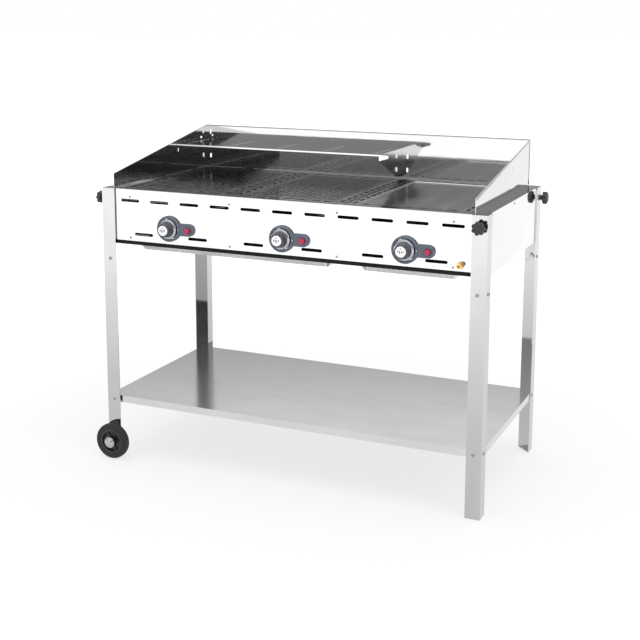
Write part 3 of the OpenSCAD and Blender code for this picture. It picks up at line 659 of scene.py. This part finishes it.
def make_griddle_cove():
    """Rolled edge of the frying recess, falling in a soft curve to its floor."""
    low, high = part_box("griddle_plate")
    left_border, right_border, end_border, corner = 27.8, 29.2, 27.7, 12.0
    section = ((-1.2, 0.05), (-0.4, 0.15), (0.5, 0.0), (1.1, -0.5), (1.8, -1.3), (2.8, -2.1), (4.2, -2.6),
               (6.0, -2.85), (8.0, -2.9))
    loops = []
    for inset, height in section:
        first = Vector((low.x + (left_border + inset) * MM, low.y + (end_border + inset) * MM))
        last = Vector((high.x - (right_border + inset) * MM, high.y - (end_border + inset) * MM))
        loops.append(round_rectangle(first, last, max(corner - inset, 3.0) * MM, high.z + height * MM))
    data = bmesh.new()
    rings(data, loops, cap=False)
    finish_piece("griddle_cove", data, "cove", "griddle_plate", smooth=60)


make_star_knobs()
make_knobs()
make_bezels()
make_buttons()
make_gas_inlet()
make_screws()
make_wheels()
make_hems()
make_griddle_cove()

# ---------------------------------------------------------------- studio


WALL_LIGHT = 1.02
BAND_LIGHT = 0.36
DARK_SIDE_LIGHT = 0.06
DARK_SIDE = (0.41, -0.91)
HORIZON_BAND = (0.0, 0.27, 0.09)
DARK_SIDE_CONE = (0.78, 1.2, 0.14)
CEILING = (0.6, 1.2, 0.3)
CEILING_LIGHT = 1.25
# The floor's own glow near the grill, far behind and far ahead: painted light.
NEAR_GLOW, BACK_GLOW, FRONT_GLOW = 0.70, 0.98, 1.45


def make_floor():
    """Large pale sweep that glows: painted light, weaker within a metre of the grill and stronger far off and
    ahead, which keeps it near white, lifts the shadows under the grill and grades the reflections in the legs.
    """
    half, grey = 60.0, 0.24
    data = bmesh.new()
    for x, y in ((-half, -half), (half, -half), (half, half), (-half, half)):
        data.verts.new((x, y, 0))
    data.faces.new(data.verts[:])
    mesh = bpy.data.meshes.new("studio_floor")
    data.to_mesh(mesh)
    data.free()
    floor = bpy.data.objects.new("studio_floor", mesh)
    bpy.context.scene.collection.objects.link(floor)
    paint = Surface("studio_floor", (grey, grey, grey), 0.9, Specular_IOR_Level=0.0)
    paint.shader.inputs["Emission Color"].default_value = (1, 1, 1, 1)
    reach = paint.node("VectorMath", {0: paint.coordinates}, operation="LENGTH").outputs["Value"]
    depth = paint.node("SeparateXYZ", {"Vector": paint.coordinates}).outputs["Y"]
    around = paint.spread(reach, NEAR_GLOW, BACK_GLOW, 1.0, 3.4)
    ahead = paint.spread(depth, 0.0, FRONT_GLOW - BACK_GLOW, -0.8, -4.2)
    paint.set("Emission Strength", paint.node("Math", {0: around, 1: ahead}, operation="ADD").outputs["Value"])
    cloud = paint.noise(0.6, detail=2)
    paint.set("Base Color", paint.mixed(cloud, (grey - 0.005,) * 3, (grey + 0.005,) * 3))
    mesh.materials.append(paint.material)


def make_world():
    """White studio whose walls darken in a band above the horizon, most on the control side.

    Only the polished steel shows it: straight lines of sight see plain white.
    """
    world = bpy.data.worlds.new("studio")
    bpy.context.scene.world = world
    world.use_nodes = True
    tree = world.node_tree
    tree.nodes.clear()

    def add(kind, **settings):
        made = tree.nodes.new("ShaderNode" + kind)
        for key, value in settings.items():
            setattr(made, key, value)
        return made

    def value(first, second, operation):
        made = add("Math", operation=operation, use_clamp=False)
        for socket, item in zip(made.inputs, (first, second)):
            if isinstance(item, bpy.types.NodeSocket):
                tree.links.new(item, socket)
            else:
                socket.default_value = item
        return made.outputs[0]

    def window(item, low, high, soft):
        """Rises from 0 to 1 over a soft border from low, and falls back over one from high."""
        made = add("MapRange", interpolation_type="SMOOTHSTEP")
        tree.links.new(item, made.inputs["Value"])
        made.inputs["From Min"].default_value = low
        made.inputs["From Max"].default_value = low + soft
        other = add("MapRange", interpolation_type="SMOOTHSTEP")
        tree.links.new(item, other.inputs["Value"])
        other.inputs["From Min"].default_value = high
        other.inputs["From Max"].default_value = high + soft
        other.inputs["To Min"].default_value = 1.0
        other.inputs["To Max"].default_value = 0.0
        return value(made.outputs["Result"], other.outputs["Result"], "MULTIPLY")

    direction = add("TexCoord").outputs["Generated"]
    split = add("SeparateXYZ")
    tree.links.new(direction, split.inputs[0])
    z = split.outputs["Z"]
    horizon = window(z, *HORIZON_BAND)
    across = value(split.outputs["X"], DARK_SIDE[0], "MULTIPLY")
    away = value(split.outputs["Y"], -DARK_SIDE[1], "MULTIPLY")
    dark_side = window(value(across, away, "SUBTRACT"), *DARK_SIDE_CONE)
    deeper = value(dark_side, BAND_LIGHT - DARK_SIDE_LIGHT, "MULTIPLY")
    drop = value(deeper, WALL_LIGHT - BAND_LIGHT, "ADD")
    wall = value(WALL_LIGHT, value(horizon, drop, "MULTIPLY"), "SUBTRACT")
    overhead = window(z, *CEILING)
    light = value(wall, value(overhead, CEILING_LIGHT - WALL_LIGHT, "MULTIPLY"), "ADD")
    path = add("LightPath")
    shown = add("MixRGB")
    tree.links.new(path.outputs["Is Camera Ray"], shown.inputs["Fac"])
    tree.links.new(light, shown.inputs["Color1"])
    shown.inputs["Color2"].default_value = (1, 1, 1, 1)
    background = add("Background")
    tree.links.new(shown.outputs[0], background.inputs["Color"])
    background.inputs["Strength"].default_value = 1.0
    output = add("OutputWorld")
    tree.links.new(background.outputs[0], output.inputs["Surface"])


def make_light(name, location, target, size, power):
    lamp = bpy.data.lights.new(name, "AREA")
    lamp.shape = "RECTANGLE"
    lamp.size, lamp.size_y = size
    lamp.energy = power
    holder = bpy.data.objects.new(name, lamp)
    holder.location = location
    aim = Vector(target) - Vector(location)
    holder.rotation_mode = "QUATERNION"
    holder.rotation_quaternion = aim.to_track_quat("-Z", "Y")
    bpy.context.scene.collection.objects.link(holder)
    return holder


def make_camera():
    lens = bpy.data.cameras.new("view")
    lens.lens = 65.6
    lens.sensor_width = 36.0
    lens.shift_y = -0.15
    lens.clip_start, lens.clip_end = 0.05, 200.0
    camera = bpy.data.objects.new("view", lens)
    camera.location = (1.397, -3.190, 1.356)
    camera.rotation_euler = [math.radians(a) for a in (79.74, -0.16, 23.84)]
    bpy.context.scene.collection.objects.link(camera)
    bpy.context.scene.camera = camera


make_floor()
make_world()
make_light("softbox_over", (0.2, -0.4, 3.4), (0, 0, 0.5), (3.0, 2.4), 34)
make_light("softbox_right", (3.4, -1.2, 2.4), (0, 0, 0.6), (2.0, 2.0), 22)
make_camera()
scene = bpy.context.scene
scene.view_settings.view_transform = "Standard"
scene.view_settings.look = "None"
